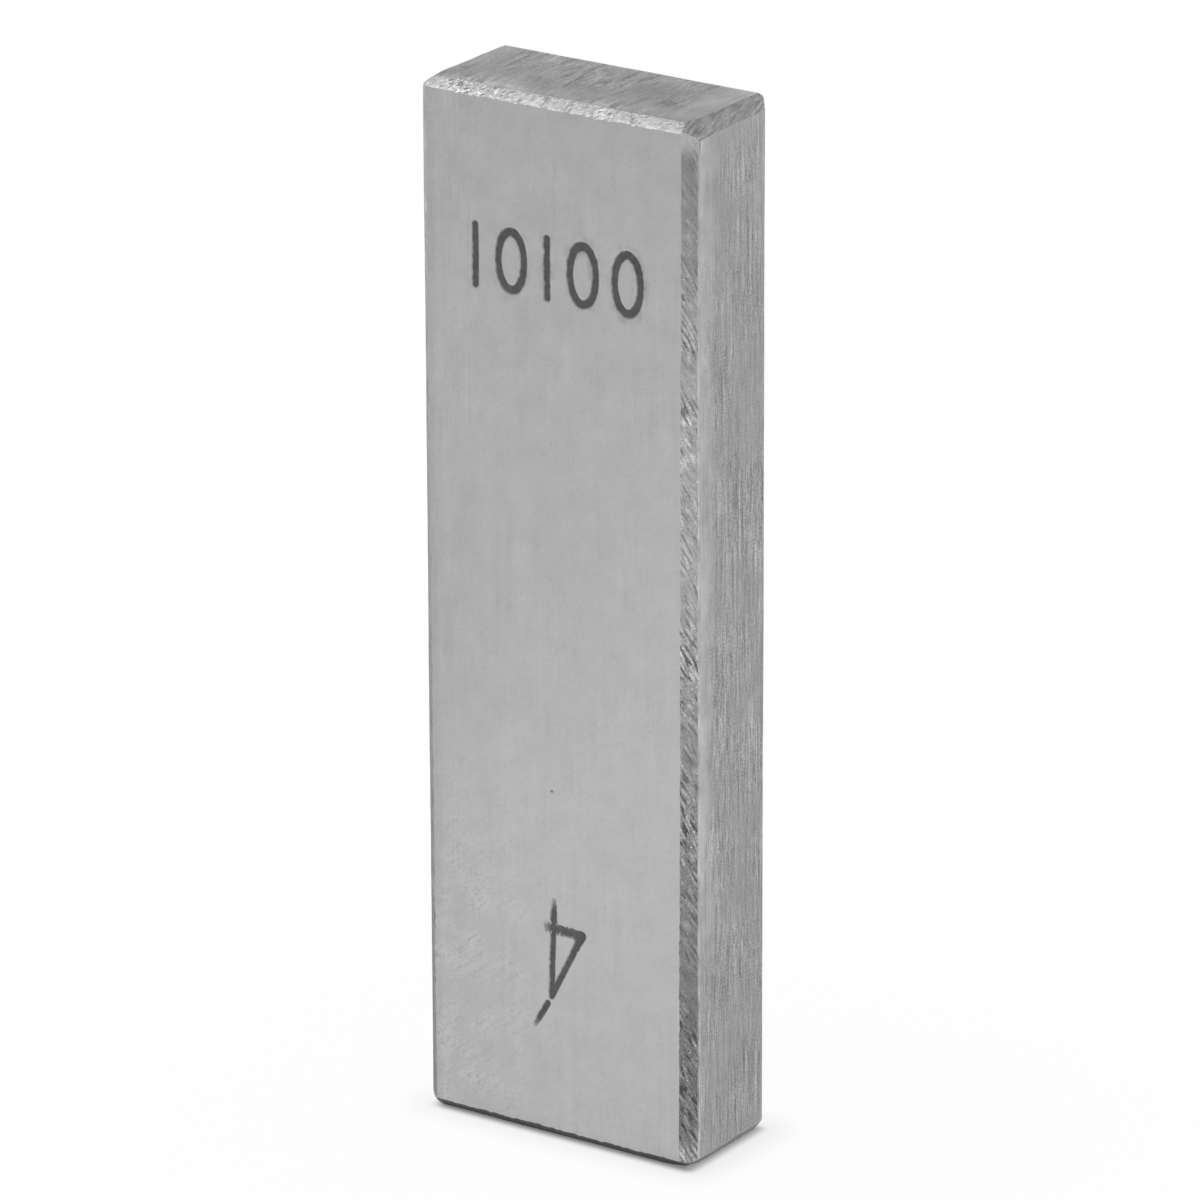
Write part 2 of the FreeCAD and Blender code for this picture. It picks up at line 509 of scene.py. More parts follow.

# %% [markdown]
# Hand work is uneven, and three more attributes hold how: the tone of the steel, how deeply it
# was stoned, and how long the strokes are. The tone also holds painted shade: the front chamfer
# of the foot is made much darker, and the right face and the left front chamfer grow darker
# towards the foot. The tone also makes the right front chamfer darker low down. A part has one
# number, or a row of numbers at places along one of its axes, and the corners between them are
# blended.

# %% Tone with painted shade, stoning and stroke of each part
# foot_front is painted shade: that chamfer is made very dark, as it stands over the shaded gap under the
# block.
tone_and_shade_of_part = {"right_front_top": 1.4, "right_front_foot": 0.9, "foot_front": 0.27, "foot_right": 1.17}
tone_and_shade_along = [
    ("front_right", Z, [0.45, 1.0, 5.0, 8.0, 12.0, 17.0, 21.0, 25.0, 29.1, 29.4, 29.6],
     [1.05, 0.57, 0.61, 0.77, 0.93, 1.26, 1.34, 1.11, 0.90, 1.32, 1.50]),
    # The right face grows a little darker towards the foot: painted shade.
    ("right", Z, [1.0, 6.0, 13.0, 28.9, 29.5], [0.96, 0.985, 1.02, 1.02, 1.12]),
    # The left front chamfer grows darker towards the foot: painted shade.
    ("front_left", Z, [2.0, 9.0, 18.0, 28.0], [0.375, 0.47, 0.72, 1.18]),
    ("top", X, [-4.0, -1.5, 0.0, 2.2, 3.0, 3.4], [1.18, 1.15, 1.02, 0.97, 0.98, 1.12]),
    ("front_top", X, [-4.0, -1.7, -1.2, 1.2, 1.8, 4.0], [0.93, 0.95, 1.05, 1.06, 1.02, 0.98]),
    ("right_top", Y, [-1.7, -1.1], [1.45, 1.22]),
]
stoning_of_part = {
    "right_front_top": 0.4, "front_top": 0.92, "right_top": 0.8, "foot_right": 0.8, "foot_front": 0.6,
}
stoning_along = [
    ("front_right", Z, [4.0, 9.0, 22.0, 25.0, 29.1, 29.4], [1.05, 1.22, 1.18, 0.72, 0.62, 0.3]),
    ("right", Z, [1.0, 5.0, 8.0, 18.0, 25.0, 29.0], [0.72, 0.90, 1.05, 1.05, 0.72, 0.65]),
    ("top", X, [2.9, 3.3], [1.0, 0.35]),
]
stroke_of_part = {"front_top": 0.22, "right_top": 0.6, "front_right": 0.54}


def hand_work(of_part, along_axis):
    """One number for each corner: 1, or its part's own, or the one read off its part's row."""
    values = per_corner([of_part.get(name, 1.0) for name in names])
    for part, axis, places, numbers in along_axis:
        here = on_part(part)
        values[here] = np.interp(place_up[here, axis], places, numbers)
    return values


tone = hand_work(tone_and_shade_of_part, tone_and_shade_along)
inward = smooth_step((place_up[:, X] + half[X] - 0.12) / 0.25)
inner_border = 1 + np.interp(place_up[:, Z], [2.0, 14.0, 24.0], [0.55, 0.36, 0.08]) * inward
worn = np.interp(place_up[:, Y], [-1.6, -1.0, -0.6, 0.6, 1.1, 1.6], [1.06, 1.03, 0.92, 0.91, 0.99, 1.05])
worn_share = np.interp(place_up[:, X], [-4.0, -1.5, 0.0, 2.8, 3.2], [0.5, 0.7, 1.0, 1.0, 0.3])
right_border = np.where(place_up[:, X] > 3.0, np.interp(place_up[:, Y], [-0.6, 0.6], [0.94, 1.22]), 1.0)
worn_top = 1 + (worn - 1) * worn_share
for part, factor in (("front_left", inner_border), ("top", worn_top), ("top", right_border)):
    tone = np.where(on_part(part), tone * factor, tone)
attach("tone", "CORNER", tone)
attach("stoning", "CORNER", hand_work(stoning_of_part, stoning_along))
attach("stroke", "CORNER", hand_work(stroke_of_part, []))

on_front = np.zeros(len(points), bool)
on_front[face_ids["front"].ravel()] = True
x, z = points[:, X], points[:, Z] + centre[Z]
attach("mark_distance_mm", "POINT", np.where(on_front, mark_distance(x, z), 9.0))
attach("etch_strength", "POINT", etch_strength(x, z))
bar_height, bar_room, bar_right_end = low[Z] + 6.28, 0.22, 0.62
attach("bristles", "POINT", np.exp(-(((z - bar_height) / bar_room) ** 4)) * (x < bar_right_end))
print("tone from", round(tone.min(), 2), "to", round(tone.max(), 2))

# %% Mark the real edges and round them
burnish_width = 0.008
widest_burnish = 0.045
burnish_of = {
    ("front_right", "right"): widest_burnish, ("front", "front_right"): 0.006,
    ("front", "front_left"): 0.006, ("front", "front_top"): 0.006, ("front_top", "top"): 0.018,
    ("right", "right_top"): 0.005, ("right_top", "top"): 0.003,
}

part_names = sorted(set(names))
part_of_corner = per_corner([part_names.index(name) for name in names])
edge_of_corner = np.zeros(len(mesh.loops), np.int32)
mesh.loops.foreach_get("edge_index", edge_of_corner)
lower = np.full(len(mesh.edges), len(part_names))       # of the two parts beside each edge
higher = np.full(len(mesh.edges), -1)
np.minimum.at(lower, edge_of_corner, part_of_corner)
np.maximum.at(higher, edge_of_corner, part_of_corner)
widths = np.where(lower == higher, 0.0, burnish_width)
for (part, neighbour), width in burnish_of.items():
    widths[(lower == part_names.index(part)) & (higher == part_names.index(neighbour))] = width
attach("bevel_weight_edge", "EDGE", widths / widest_burnish)


def in_scene(name, data):
    """A new object in the scene."""
    made = bpy.data.objects.new(name, data)
    bpy.context.scene.collection.objects.link(made)
    return made


block = in_scene("gauge_block_dressed", mesh)
mesh.shade_smooth()
rounding = block.modifiers.new("burnished edges", "BEVEL")
rounding.limit_method = "WEIGHT"
rounding.width = widest_burnish * MM
rounding.segments = 2
rounding.material = zones.index("burnished")
level = block.modifiers.new("keep the faces flat", "WEIGHTED_NORMAL")
level.keep_sharp = False
print("real edges:", int((widths > 0).sum()), "of", len(mesh.edges), " parts:", len(part_names))

# %% [markdown]
# ## Node helpers
#
# Materials are node trees, and most of a tree is arithmetic. Small helpers place a node and wire
# it in one line, so that the cells that follow read as the finish they describe.

# %% Helpers for node trees
def wire(tree, socket, value):
    """Links a socket to another socket, or sets it to a plain value."""
    if isinstance(value, bpy.types.NodeSocket):
        tree.links.new(value, socket)
    else:
        socket.default_value = value


def node(tree, kind, inputs=None, **settings):
    """Places a node with its settings, wires its inputs by name or number, returns its outputs."""
    made = tree.nodes.new("ShaderNode" + kind)
    for name, value in settings.items():
        setattr(made, name, value)
    for key, value in (inputs or {}).items():
        wire(tree, made.inputs[key], value)
    return made.outputs


def math_node(tree, operation, *values):
    """A Math node on up to three values."""
    return node(tree, "Math", dict(enumerate(values)), operation=operation)["Value"]


def times(tree, product, *others):
    """Multiplies any number of values."""
    for value in others:
        product = math_node(tree, "MULTIPLY", product, value)
    return product


def plus(tree, total, *others):
    """Adds up any number of values."""
    for value in others:
        total = math_node(tree, "ADD", total, value)
    return total


def minus(tree, value, other):
    """One value less another."""
    return math_node(tree, "SUBTRACT", value, other)


def times_plus(tree, value, factor, added):
    """A value times a factor, plus another value."""
    return math_node(tree, "MULTIPLY_ADD", value, factor, added)


def vector_node(tree, operation, first, second, output="Vector"):
    """A Vector Math node on two vectors."""
    return node(tree, "VectorMath", {0: first, 1: second}, operation=operation)[output]


def coordinates(tree, place):
    """The X, Y and Z of a place."""
    return node(tree, "SeparateXYZ", {"Vector": place})


def mixed(tree, share, value, other):
    """One value where the share is 0, another where it is 1, and a blend between."""
    return node(tree, "Mix", {"Factor": share, "A": value, "B": other})["Result"]


def remap(tree, value, start, end, to_start=0.0, to_end=1.0, smooth=True):
    """Takes start..end to to_start..to_end and holds it there beyond."""
    ranges = {"Value": value, "From Min": start, "From Max": end, "To Min": to_start, "To Max": to_end}
    return node(tree, "MapRange", ranges, interpolation_type="SMOOTHSTEP" if smooth else "LINEAR")["Result"]


def stretched(tree, place, across_scale, along_scale):
    """A place with its first coordinate scaled by one number and its second by another."""
    scale = node(tree, "CombineXYZ", {"X": across_scale, "Y": along_scale})["Vector"]
    return vector_node(tree, "MULTIPLY", place, scale)


def noise(tree, place, scale=1.0, detail=2.0, roughness=0.5, dimensions="2D"):
    """A noise texture's grey value, which lies about 0.5."""
    inputs = {"Vector": place, "Scale": scale, "Detail": detail, "Roughness": roughness}
    return node(tree, "TexNoise", inputs, noise_dimensions=dimensions)["Fac"]


def group_tree(name, inputs, outputs):
    """An empty node group with named sockets: vectors and numbers in, numbers out."""
    group = bpy.data.node_groups.new(name, "ShaderNodeTree")
    for label, start_value in inputs.items():
        kind = "NodeSocketVector" if start_value is None else "NodeSocketFloat"
        socket = group.interface.new_socket(name=label, in_out="INPUT", socket_type=kind)
        if start_value is not None:
            socket.default_value = start_value
    for label in outputs:
        group.interface.new_socket(name=label, in_out="OUTPUT", socket_type="NodeSocketFloat")
    given = group.nodes.new("NodeGroupInput").outputs
    result = group.nodes.new("NodeGroupOutput").inputs
    return group, given, result


def place_group(tree, group, **values):
    """Places a group in a material with its own values; returns its outputs. An underscore in a
    value's name stands for a space in the socket's name."""
    inputs = {name.replace("_", " "): value for name, value in values.items()}
    return node(tree, "Group", inputs, node_tree=group)


print("helpers ready")

# %% [markdown]
# ## Marks that tools leave
#
# Under a glass, worked steel is a field of fine lines, all running the way that the wheel or
# stone ran. Noise that is squeezed across the lines and stretched along them looks the same and
# never repeats. Every zone of the block uses it with its own fineness, so it is a node group,
# whose place comes in as millimetres across and along the lines.

# %% Group: ground lines
ground_lines, given, result = group_tree(
    "ground_lines",
    {"Place": None, "Lines per mm": 12.0, "Line length": 3.0, "Grain": 0.3, "Contrast": 1.0},
    ["Lines"],
)
tree = ground_lines
per_length = math_node(tree, "DIVIDE", 1.0, given["Line length"])
long_lines = stretched(tree, given["Place"], given["Lines per mm"], per_length)
broad = noise(tree, long_lines, detail=2, roughness=0.6)
finer = times(tree, given["Lines per mm"], 2.1)
shorter = times(tree, per_length, 5.0)
hair = noise(tree, stretched(tree, given["Place"], finer, shorter), detail=1)
crumbs = noise(tree, given["Place"], 17.0, 1)
both = plus(tree, times(tree, broad, 0.55), times(tree, hair, 0.45))
grained = times_plus(tree, minus(tree, crumbs, 0.5), given["Grain"], both)
spread = times_plus(tree, minus(tree, grained, 0.5), given["Contrast"], 0.5)
wire(tree, result["Lines"], remap(tree, spread, 0.0, 1.0, smooth=False))
print("group", ground_lines.name, "gives", list(result.keys())[0])

# %% [markdown]
# A few lines are deeper than the rest, where grit came loose and rolled. The same stretched
# noise gives them when only its highest peaks are kept, and its lowest hollows give the bright
# burrs. A second, slow noise leaves some places clear.

# %% Group: single scratches
single_scratches, given, result = group_tree(
    "single_scratches",
    {"Place": None, "Lines per mm": 6.0, "Line length": 5.0, "Rarity": 0.66},
    ["Cuts", "Burrs"],
)
tree = single_scratches
per_length = math_node(tree, "DIVIDE", 1.0, given["Line length"])
peaks = noise(tree, stretched(tree, given["Place"], given["Lines per mm"], per_length), detail=0)
wide = times(tree, given["Lines per mm"], 0.12)
patches = remap(tree, noise(tree, stretched(tree, given["Place"], wide, wide), detail=1), 0.36, 0.54)
for label, height in (("Cuts", peaks), ("Burrs", minus(tree, 1.0, peaks))):
    kept = remap(tree, height, given["Rarity"], plus(tree, given["Rarity"], 0.07))
    wire(tree, result[label], times(tree, kept, patches))
print("group", single_scratches.name)

# %% [markdown]
# Steel is never one even grey: oil, its own grain and the wear of the lap make soft clouds on
# it. This group turns noise in space into such clouds, of any size.

# %% Group: clouds
clouds, given, result = group_tree("clouds", {"Place": None, "Size": 1.5}, ["Clouds"])
tree = clouds
puffs = noise(tree, given["Place"], math_node(tree, "DIVIDE", 1.0, given["Size"]), 3, 0.55, "3D")
wire(tree, result["Clouds"], remap(tree, puffs, 0.3, 0.7, smooth=False))
print("group", clouds.name)

# %% [markdown]
# Pinholes and bright specks come last. The pinholes are real marks, and the bright specks are
# painted glints. A Voronoi texture strews one point in each cell; a small disc round it is a
# speck, and the cell's own random grey says whether its speck is there at all.

# %% Group: specks
specks, given, result = group_tree(
    "specks", {"Place": None, "Spacing": 1.0, "Radius": 0.03, "Share": 0.2}, ["Specks"]
)
tree = specks
spread = {"Vector": given["Place"], "Scale": math_node(tree, "DIVIDE", 1.0, given["Spacing"])}
cells = node(tree, "TexVoronoi", spread, voronoi_dimensions="2D")
radius = math_node(tree, "DIVIDE", given["Radius"], given["Spacing"])
disc = remap(tree, cells["Distance"], radius, times(tree, radius, 0.4))
cell_grey = node(tree, "SeparateColor", {"Color": cells["Color"]})["Red"]
there = math_node(tree, "LESS_THAN", cell_grey, given["Share"])
wire(tree, result["Specks"], times(tree, disc, there))
print("group", specks.name)

# %% [markdown]
# ## The steel of each zone
#
# The block is one steel, but a lapped face, a ground side and a stoned chamfer scatter light
# in different ways. One recipe makes them all: a grey, times the lines, times the clouds, less
# the scratches, plus the burrs, plus painted glints, bright specks in the colour; a roughness that
# follows the same lines; and a bump, because lines are grooves and each groove tilts the
# reflection. In the table each row is one number of the recipe, for the lapped, side, end,
# chamfer and burnished steel in turn.

# %% What each finish is made of
finish_rows = {
    "grey": (0.505, 0.435, 0.42, 0.386, 0.46),
    "roughness": (0.30, 0.38, 0.38, 0.42, 0.32),
    "lines per mm": (6, 14, 7, 13, 9),
    "line length": (4.0, 1.8, 0.8, 0.9, 1.0),
    "grain": (0.0, 0.5, 0.4, 0.45, 0.5),
    "contrast": (1.5, 3.0, 2.8, 2.2, 2.0),
    "line tone": (0.03, 0.63, 0.44, 0.62, 0.2),
    "groove": (0.06, 2.0, 2.0, 3.2, 1.0),
    "cloud size": (0.9, 0.8, 1.8, 0.7, 0.6),
    "cloud tone": (0.1, 0.15, 0.5, 0.25, 0.3),
    "scratches per mm": (3.6, 8.0, 6.0, 13.0, 6.0),
    "scratch length": (6.0, 3.6, 0.9, 0.8, 1.5),
    "rarity": (0.68, 0.66, 0.64, 0.60, 0.70),
    "cut tone": (0.03, 0.22, 0.3, 0.4, 0.2),
    "burr tone": (0.02, 0.24, 0.15, 0.38, 0.0),
    "glint spacing": (1.1, 0.5, 0.5, 0.13, 0.5),
    "glint radius": (0.014, 0.016, 0.018, 0.022, 0.01),
    "glint tone": (0.35, 0.4, 0.5, 1.3, 0.2),
}
finishes = {
    zone: {name: row[column] for name, row in finish_rows.items()} for column, zone in enumerate(zones)
}
micrometre = 1e-6       # the grooves are given in micrometres


def attribute(tree, name):
    """A number that the mesh carries."""
    return node(tree, "Attribute", attribute_name=name)["Fac"]


def tinted(tree, grey, mask, tone, middle=0.0):
    """A grey times 1 + tone x (mask - middle): the mask's own middle leaves it as it is."""
    return times(tree, grey, times_plus(tree, minus(tree, mask, middle), tone, 1.0))


def recolour(steel, grey):
    """Gives a steel another base colour."""
    wire(steel["tree"], steel["shader"].inputs["Base Color"], grey)


def worked_steel(zone):
    """A metal whose base colour is one grey, tinted by each kind of mark and by painted glints, with
    a bump of the same marks. Returns the parts that later cells still change."""
    finish = finishes[zone]
    material = bpy.data.materials.new("steel_" + zone)
    material.use_nodes = True
    tree = material.node_tree
    shader = tree.nodes["Principled BSDF"]
    shader.inputs["Metallic"].default_value = 1.0
    place = node(tree, "UVMap", uv_map="finish_mm")["UV"]
    in_mm = vector_node(tree, "MULTIPLY", node(tree, "TexCoord")["Object"], (1 / MM,) * 3)
    worn = noise(tree, in_mm, 0.45, 1, 0.5, "3D")
    depth = times(tree, attribute(tree, "stoning"), remap(tree, worn, 0.38, 0.62, 0.6, 1.3))
    stroke = attribute(tree, "stroke")
    lines = place_group(
        tree, ground_lines, Place=place, Lines_per_mm=finish["lines per mm"], Grain=finish["grain"],
        Line_length=times(tree, stroke, finish["line length"]),
        Contrast=times(tree, depth, finish["contrast"]),
    )["Lines"]
    scratches = place_group(
        tree, single_scratches, Place=place, Lines_per_mm=finish["scratches per mm"],
        Line_length=times(tree, stroke, finish["scratch length"]), Rarity=finish["rarity"],
    )
    glints = place_group(
        tree, specks, Place=place, Spacing=finish["glint spacing"], Radius=finish["glint radius"], Share=0.15,
    )["Specks"]
    cuts, burrs = (times(tree, scratches[name], depth) for name in ("Cuts", "Burrs"))
    # Painted glints: bright specks in the base colour, stronger where the steel was stoned deeper.
    glints = times(tree, glints, depth)
    cloud = place_group(tree, clouds, Place=in_mm, Size=finish["cloud size"])["Clouds"]
    grey = times(tree, attribute(tree, "tone"), finish["grey"])
    grey = tinted(tree, grey, lines, finish["line tone"], 0.5)
    grey = tinted(tree, grey, cloud, finish["cloud tone"], 0.5)
    grey = tinted(tree, grey, cuts, -finish["cut tone"])
    grey = tinted(tree, grey, burrs, finish["burr tone"])
    grey = tinted(tree, grey, glints, finish["glint tone"])
    rough = times_plus(tree, minus(tree, cloud, lines), 0.08, finish["roughness"])
    height = minus(tree, lines, times(tree, cuts, 0.6))
    bump = node(tree, "Bump", {"Distance": finish["groove"] * micrometre, "Height": height})["Normal"]
    for name, value in (("Base Color", grey), ("Roughness", rough), ("Normal", bump)):
        wire(tree, shader.inputs[name], value)
    return {"material": material, "tree": tree, "shader": shader, "place": place, "in_mm": in_mm,
            "grey": grey, "rough": rough, "cloud": cloud, "lines": lines}


steels = {zone: worked_steel(zone) for zone in zones}
for zone in zones:
    mesh.materials.append(steels[zone]["material"])
print("steels:", [material.name for material in mesh.materials])

# %% [markdown]
# ### Dark marks on the lapped face
#
# The marks are etched: acid or a spark leaves a dark skin whose border is ragged, with a faint
# halo where it crept under the stencil. The mesh carries the distance to the strokes, so
# darkness is that distance, disturbed by noise and remapped twice: sharply for the skin and
# softly for the halo. Etched steel also loses its shine.

# %% Etched marks, pinholes and specks
lapped = steels["lapped"]
tree, place, in_mm, cloud = (lapped[part] for part in ("tree", "place", "in_mm", "cloud"))
across, _, height = coordinates(tree, in_mm)
bristles = attribute(tree, "bristles")
ragged = minus(tree, noise(tree, in_mm, 6.0, 2, 0.5, "3D"), 0.5)
combed = minus(tree, noise(tree, stretched(tree, place, 16.0, 2.5), detail=1), 0.5)
frayed = times_plus(tree, ragged, times_plus(tree, cloud, 0.07, 0.03), attribute(tree, "mark_distance_mm"))
disturbed = times_plus(tree, combed, times(tree, bristles, 0.20), frayed)
strength = times_plus(tree, times(tree, combed, bristles), 0.45, attribute(tree, "etch_strength"))
skin = times(tree, remap(tree, disturbed, 0.040, -0.036), math_node(tree, "MINIMUM", strength, 1.0))
by_number = times(tree, remap(tree, height, 18.0, 20.0), remap(tree, across, -2.5, 2.2, 0.25, 1.0))
crept = times(tree, remap(tree, noise(tree, in_mm, 1.1, 2, 0.6, "3D"), 0.50, 0.66), by_number)
halo = times(tree, remap(tree, disturbed, 0.24, 0.0), crept)
pinholes = place_group(tree, specks, Place=place, Spacing=0.8, Radius=0.022, Share=0.10)["Specks"]
pit_place = (-0.12, -half[Y], 10.33)
pit = remap(tree, vector_node(tree, "DISTANCE", in_mm, pit_place, "Value"), 0.06, 0.03)

# %% Strokes, pits, dull patches, painted shade and a darker left border of the lapped face
turn = {"Vector": place, "Angle": math.radians(52)}
slanting = node(tree, "VectorRotate", turn, rotation_type="Z_AXIS")["Vector"]
strokes = place_group(
    tree, ground_lines, Place=slanting, Lines_per_mm=6.0, Line_length=0.6, Grain=0.3, Contrast=2.2,
)["Lines"]
by_cloud = remap(tree, cloud, 0.2, 0.9)
low_left = times(tree, remap(tree, across, 0.5, -3.6), remap(tree, height, 12.0, 5.0), by_cloud)
stropped = minus(tree, math_node(tree, "MINIMUM", strokes, 0.60), 0.42)
high_left = times(tree, remap(tree, across, -2.0, -3.2), remap(tree, height, 12.0, 16.0))
pits = place_group(tree, specks, Place=slanting, Spacing=0.20, Radius=0.035, Share=0.35)["Specks"]
pitted = remap(tree, noise(tree, in_mm, 0.45, 2, 0.6, "3D"), 0.48, 0.62)
left_shade = times(tree, remap(tree, across, -0.6, -3.8), remap(tree, height, 22.0, 14.0))
middle_band = times(tree, remap(tree, height, 21.0, 18.0), remap(tree, height, 10.5, 13.0))
grey = lapped["grey"]
for mask, tone in (
    (halo, -0.30),
    (pinholes, -0.4),
    (pit, -0.6),
    (times(tree, stropped, times_plus(tree, low_left, 0.40, 0.11)), 1.0),
    (times(tree, minus(tree, lapped["lines"], 0.5), high_left), 0.10),
    (times(tree, pits, pitted), -0.09),
    # Painted shade: the face is darker towards its left, below about 22 mm, and less so near the foot.
    (times(tree, left_shade, remap(tree, height, 2.0, 7.0, 0.3, 1.0)), -0.055),
    (times(tree, middle_band, remap(tree, across, 2.5, 0.5)), -0.028),
    # Darker along the left border of the face.
    (remap(tree, times_plus(tree, ragged, 0.3, across), -3.72, -4.05), -0.08),
):
    grey = tinted(tree, grey, mask, tone)
etched_grey = times_plus(tree, ragged, 0.08, 0.150)
recolour(lapped, mixed(tree, skin, grey, etched_grey))
wire(tree, lapped["shader"].inputs["Roughness"], times_plus(tree, skin, 0.35, lapped["rough"]))
print("nodes in the lapped steel:", len(tree.nodes))

# %% [markdown]
# ### The rubbed band of the sides
#
# Beside its front edge each ground side carries a lighter band, where the stone that broke the
# edge also skimmed the face. It is a mask on the place across the side, made uneven by noise.

# %% Rubbed band
side_steel = steels["side"]
tree = side_steel["tree"]
_, y, z = coordinates(tree, side_steel["in_mm"])
uneven = minus(tree, noise(tree, stretched(tree, side_steel["place"], 1.5, 0.4), detail=2), 0.5)
towards_front = times_plus(tree, uneven, 0.9, times(tree, y, -1.0))
upper = times(tree, remap(tree, z, 4.5, 9.5, 0.2, 1.0), remap(tree, z, 20.0, 15.0, 0.82, 1.15))
band_start, band_full, band_share = 0.7, 1.45, 0.66
band = times(tree, remap(tree, towards_front, band_start, band_full), upper, band_share)
rubbed_grey = tinted(tree, finishes["side"]["grey"] * 1.45, side_steel["cloud"], 0.30, 0.5)
rubbed = mixed(tree, band, side_steel["grey"], rubbed_grey)
skimmed = times(tree, remap(tree, y, -1.30, -1.62), remap(tree, z, 6.0, 9.5))
recolour(side_steel, tinted(tree, rubbed, skimmed, 0.10))
print("rubbed band starts", band_start, "mm from the middle of the side")

# %% [markdown]
# The top is skimmed in the same way, in a narrow strip beside its front edge and its right edge.
# There the two masks run along Y and along X.

# %% Skimmed borders of the top
end_steel = steels["end"]
tree = end_steel["tree"]
x, y, _ = coordinates(tree, end_steel["in_mm"])
front_strip, right_strip = (-1.15, -1.50), (3.93, 4.12)
at_front = times(tree, remap(tree, y, *front_strip), remap(tree, x, 3.6, 0.0, 0.3, 1.0), 0.20)
at_right = times(tree, remap(tree, x, *right_strip), 0.10)
recolour(end_steel, tinted(tree, end_steel["grey"], math_node(tree, "MAXIMUM", at_front, at_right), 1.0))
print("the skimmed borders begin at Y", front_strip[0], "and X", right_strip[0])

# %% [markdown]
# The edge between the right front chamfer and the side got more strokes than the others, so
# its burnished rounding is wider. Its colour is also lightened along it, strongest below about
# 13 mm: a painted highlight. A mask on the place picks that one out.

# %% The brightest edge, with a painted highlight
burnished = steels["burnished"]
tree = burnished["tree"]
x, y, z = coordinates(tree, burnished["in_mm"])
at_side = remap(tree, x, half[X] - 0.10, half[X] - 0.05)
behind = remap(tree, y, 0.42 - half[Y], 0.50 - half[Y])
bright_from, bright_to = 0.5, 28.5
upright = times(tree, remap(tree, z, 0.3, bright_from), remap(tree, z, 29.5, bright_to))
# Painted highlight: the base colour is lightened along this edge, most below 13 mm.
painted_edge_highlight = times(
    tree, at_side, minus(tree, 1.0, behind), upright,
    remap(tree, burnished["cloud"], 0.1, 0.9, 0.6, 1.2), remap(tree, z, 17.0, 13.0, 0.14, 0.42),
)
recolour(burnished, tinted(tree, burnished["grey"], painted_edge_highlight, 1.0))
print("bright edge from", bright_from, "to", bright_to, "mm up")

# %% Ride on the frame
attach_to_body(block, "root")
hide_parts("gauge_block")

# %% [markdown]
# ## A white table
#
# The block stands on a plain white diffuse table that runs out of sight behind it. Lighting it
# until it is pure white would wash out the part, so where a camera ray or a mirrored ray meets
# the table, it also glows. Close round the block the glow fades and the real shadow shows. To
# mirrored rays the glow is also brighter ahead of the block and to its left, fading out by about
# 110 mm, as painted light, and that brighter glow is dimmed within 18 mm of the block as painted
# shade.

# %% Table
table_half = 2.0
corners = [(x * table_half, y * table_half, 0) for x, y in ((-1, -1), (1, -1), (1, 1), (-1, 1))]
table_mesh = bpy.data.meshes.new("white_table")
table_mesh.from_pydata(corners, [], [(0, 1, 2, 3)])
table = in_scene("white_table", table_mesh)
white_table = bpy.data.materials.new("white_table")
white_table.use_nodes = True
table_mesh.materials.append(white_table)
tree = white_table.node_tree
paint = tree.nodes["Principled BSDF"]
paint.inputs["Base Color"].default_value = (0.85, 0.85, 0.85, 1)
paint.inputs["Roughness"].default_value = 0.8
paint.inputs["Specular IOR Level"].default_value = 0.0


def seen_share(tree):
    """1 for camera rays, mirrored rays and rays that pass through, and 0 for the rest."""
    rays = node(tree, "LightPath")
    seen = plus(tree, rays["Is Camera Ray"], rays["Is Glossy Ray"], rays["Is Transmission Ray"])
    return math_node(tree, "MINIMUM", seen, 1.0)


def white_to_camera(tree, value):
    """A value for every ray but the camera's, which gets at least 1, pure white."""
    return math_node(tree, "MAXIMUM", value, node(tree, "LightPath")["Is Camera Ray"])


def distance_outside(tree, place, half_x, half_y):
    """Distance in mm from a place on the table to the block's footprint, and 0 under it."""
    squares = []
    for coordinate, room in zip(coordinates(tree, place), (half_x, half_y)):
        size = times(tree, math_node(tree, "ABSOLUTE", coordinate), 1 / MM)
        beyond = math_node(tree, "MAXIMUM", minus(tree, size, room), 0.0)
        squares.append(times(tree, beyond, beyond))
    return math_node(tree, "SQRT", plus(tree, *squares))


where = node(tree, "TexCoord")["Object"]
undercut = 0.34         # how far the foot's chamfers lift the block's outline off the table
away = distance_outside(tree, where, half[X] - undercut, half[Y] - undercut)
close = remap(tree, away, 0.0, 0.45, 0.14, 0.80)
near = remap(tree, away, 0.35, 1.6, 0.0, 0.17)
far = remap(tree, away, 1.6, 30.0, 0.0, 0.03)
glow_share = times(tree, plus(tree, close, near, far), seen_share(tree))
# Painted light: to mirrored rays the table glows brighter ahead of the block and to its left, and that extra
# glow is dimmed close to the block as painted shade.
ahead = vector_node(tree, "DOT_PRODUCT", where, (0.56, 0.83, 0.0), "Value")
painted_shade_near_block = remap(tree, away, 0.0, 18.0, 0.62, 1.0)
painted_light_pool = times(tree, remap(tree, ahead, 0.008, -0.003), remap(tree, away, 110.0, 15.0), painted_shade_near_block)
strength = white_to_camera(tree, times_plus(tree, painted_light_pool, 0.22, 0.78))
glow = node(tree, "Emission", {"Strength": strength})["Emission"]
blend = node(tree, "MixShader", {0: glow_share, 1: paint.outputs["BSDF"], 2: glow})["Shader"]
wire(tree, tree.nodes["Material Output"].inputs["Surface"], blend)
print("table:", 2 * table_half, "m square")

# %% [markdown]
# ## The room
#
# Steel shows its surroundings, so the room is part of its look. Low down the room is as white
# as the table; it falls off to grey overhead, which gives the upward faces their darker tone.
# Diffuse light gets an even grey instead, so that the table is lit plainly.

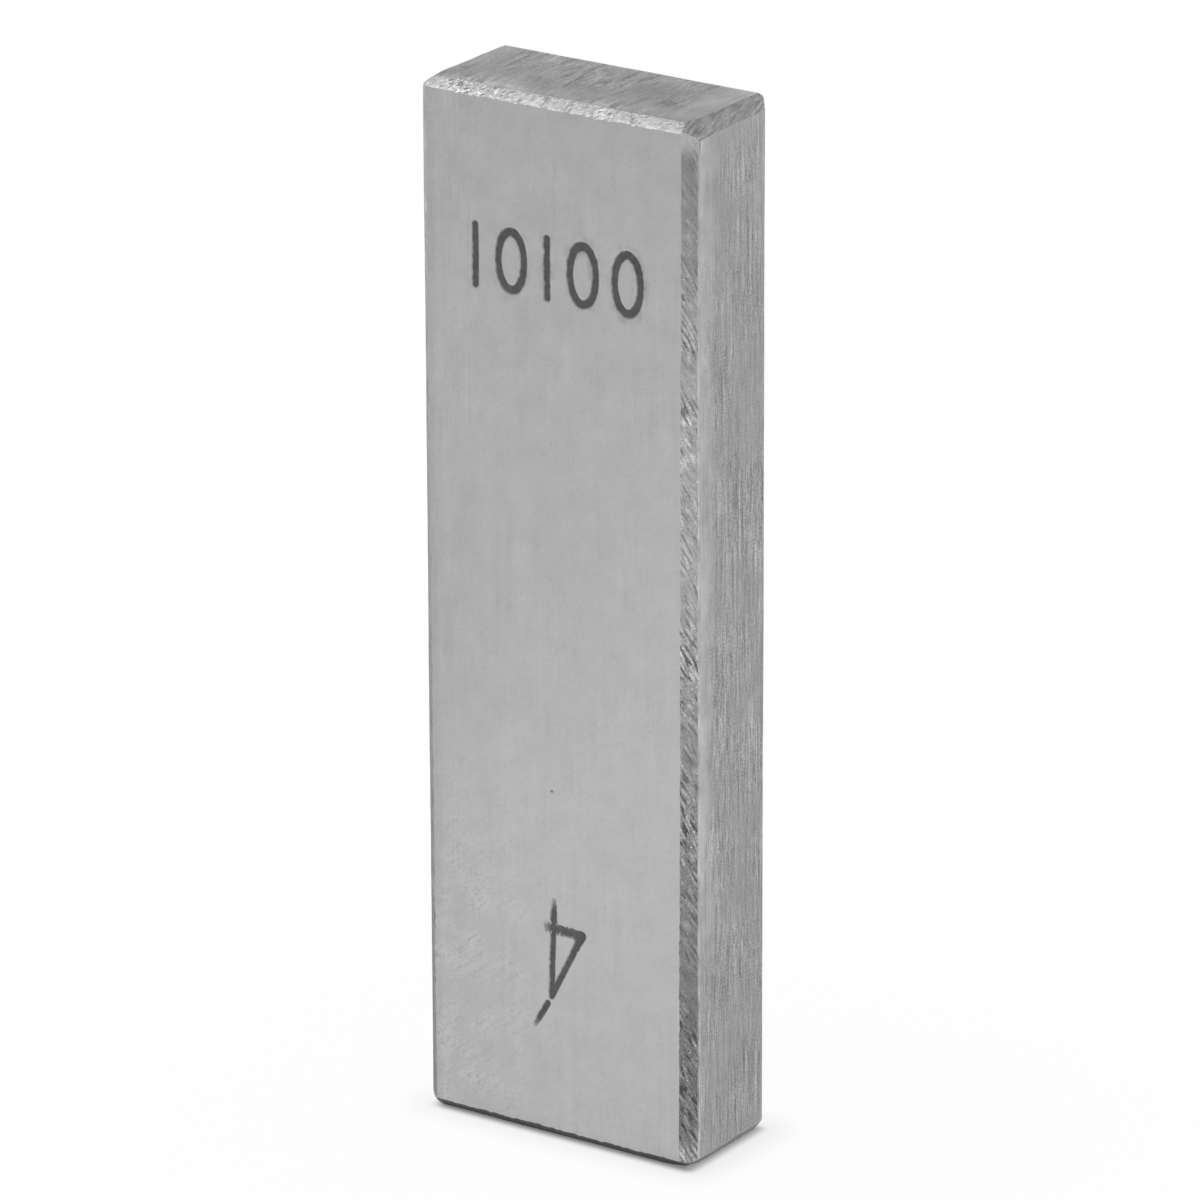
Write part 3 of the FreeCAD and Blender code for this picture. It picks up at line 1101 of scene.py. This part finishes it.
# %% World
world = bpy.data.worlds.new("studio")
bpy.context.scene.world = world
world.use_nodes = True
tree = world.node_tree
upward = coordinates(tree, node(tree, "TexCoord")["Generated"])["Z"]
room = remap(tree, upward, 0.0, 0.6, 0.88, 0.5)
ambient = 0.5
lit = mixed(tree, seen_share(tree), ambient, room)
wire(tree, tree.nodes["Background"].inputs["Color"], white_to_camera(tree, lit))
tree.nodes["Background"].inputs["Strength"].default_value = 1.0
print("room: white at the horizon, grey overhead")

# %% [markdown]
# ## A softbox and the camera
#
# One softbox stands above and to the left of the block, where the front chamfer of the top
# mirrors it, so that edge glitters. The camera stands a quarter of a metre away with a long
# lens, which keeps the block's upright edges nearly parallel.

# %% Softbox
def facing(place, target, roll=0.0):
    """A matrix that puts a lamp or camera at a place, with its back away from the target."""
    back = unit(np.subtract(place, target))
    level = unit(np.cross((0, 0, 1), back))
    upright = np.cross(back, level)
    right = level * math.cos(roll) + upright * math.sin(roll)
    up = upright * math.cos(roll) - level * math.sin(roll)
    return Matrix([[right[i], up[i], back[i], place[i]] for i in range(3)] + [[0, 0, 0, 1]])


softbox_data = bpy.data.lights.new("softbox", "AREA")
softbox_data.shape = "SQUARE"
softbox_data.size = 0.30
softbox_data.energy = 0.47
softbox = in_scene("softbox", softbox_data)
softbox.matrix_world = facing((-0.17, -0.05, 0.29), centre * MM)
print("softbox:", softbox_data.size, "m,", softbox_data.energy, "W")

# %% Camera
azimuth, elevation, roll = (math.radians(angle) for angle in (34.1113, 19.8949, -0.1982))
camera_distance = 0.242336
aim_right, aim_up = 0.10997, 0.28743        # mm, from the middle of the block
level_part = math.cos(elevation)
outward = np.array([math.sin(azimuth) * level_part, -math.cos(azimuth) * level_part, math.sin(elevation)])
frame_axes = facing(outward, (0, 0, 0), roll)
right, up = (np.array([frame_axes[i][column] for i in range(3)]) for column in (0, 1))
target = (np.array([aim_right * right[0], aim_right * right[1], centre[Z]]) + aim_up * up) * MM
camera_data = bpy.data.cameras.new("camera")
camera_data.sensor_width = 36
camera_data.lens = 266.30
camera_data.clip_start = 0.01
camera = in_scene("camera", camera_data)
camera.matrix_world = facing(target + outward * camera_distance, target, roll)
bpy.context.scene.camera = camera
bpy.context.scene.view_settings.view_transform = "Standard"
print("camera at", np.round(np.array(camera.matrix_world.translation) / MM, 2), "mm")
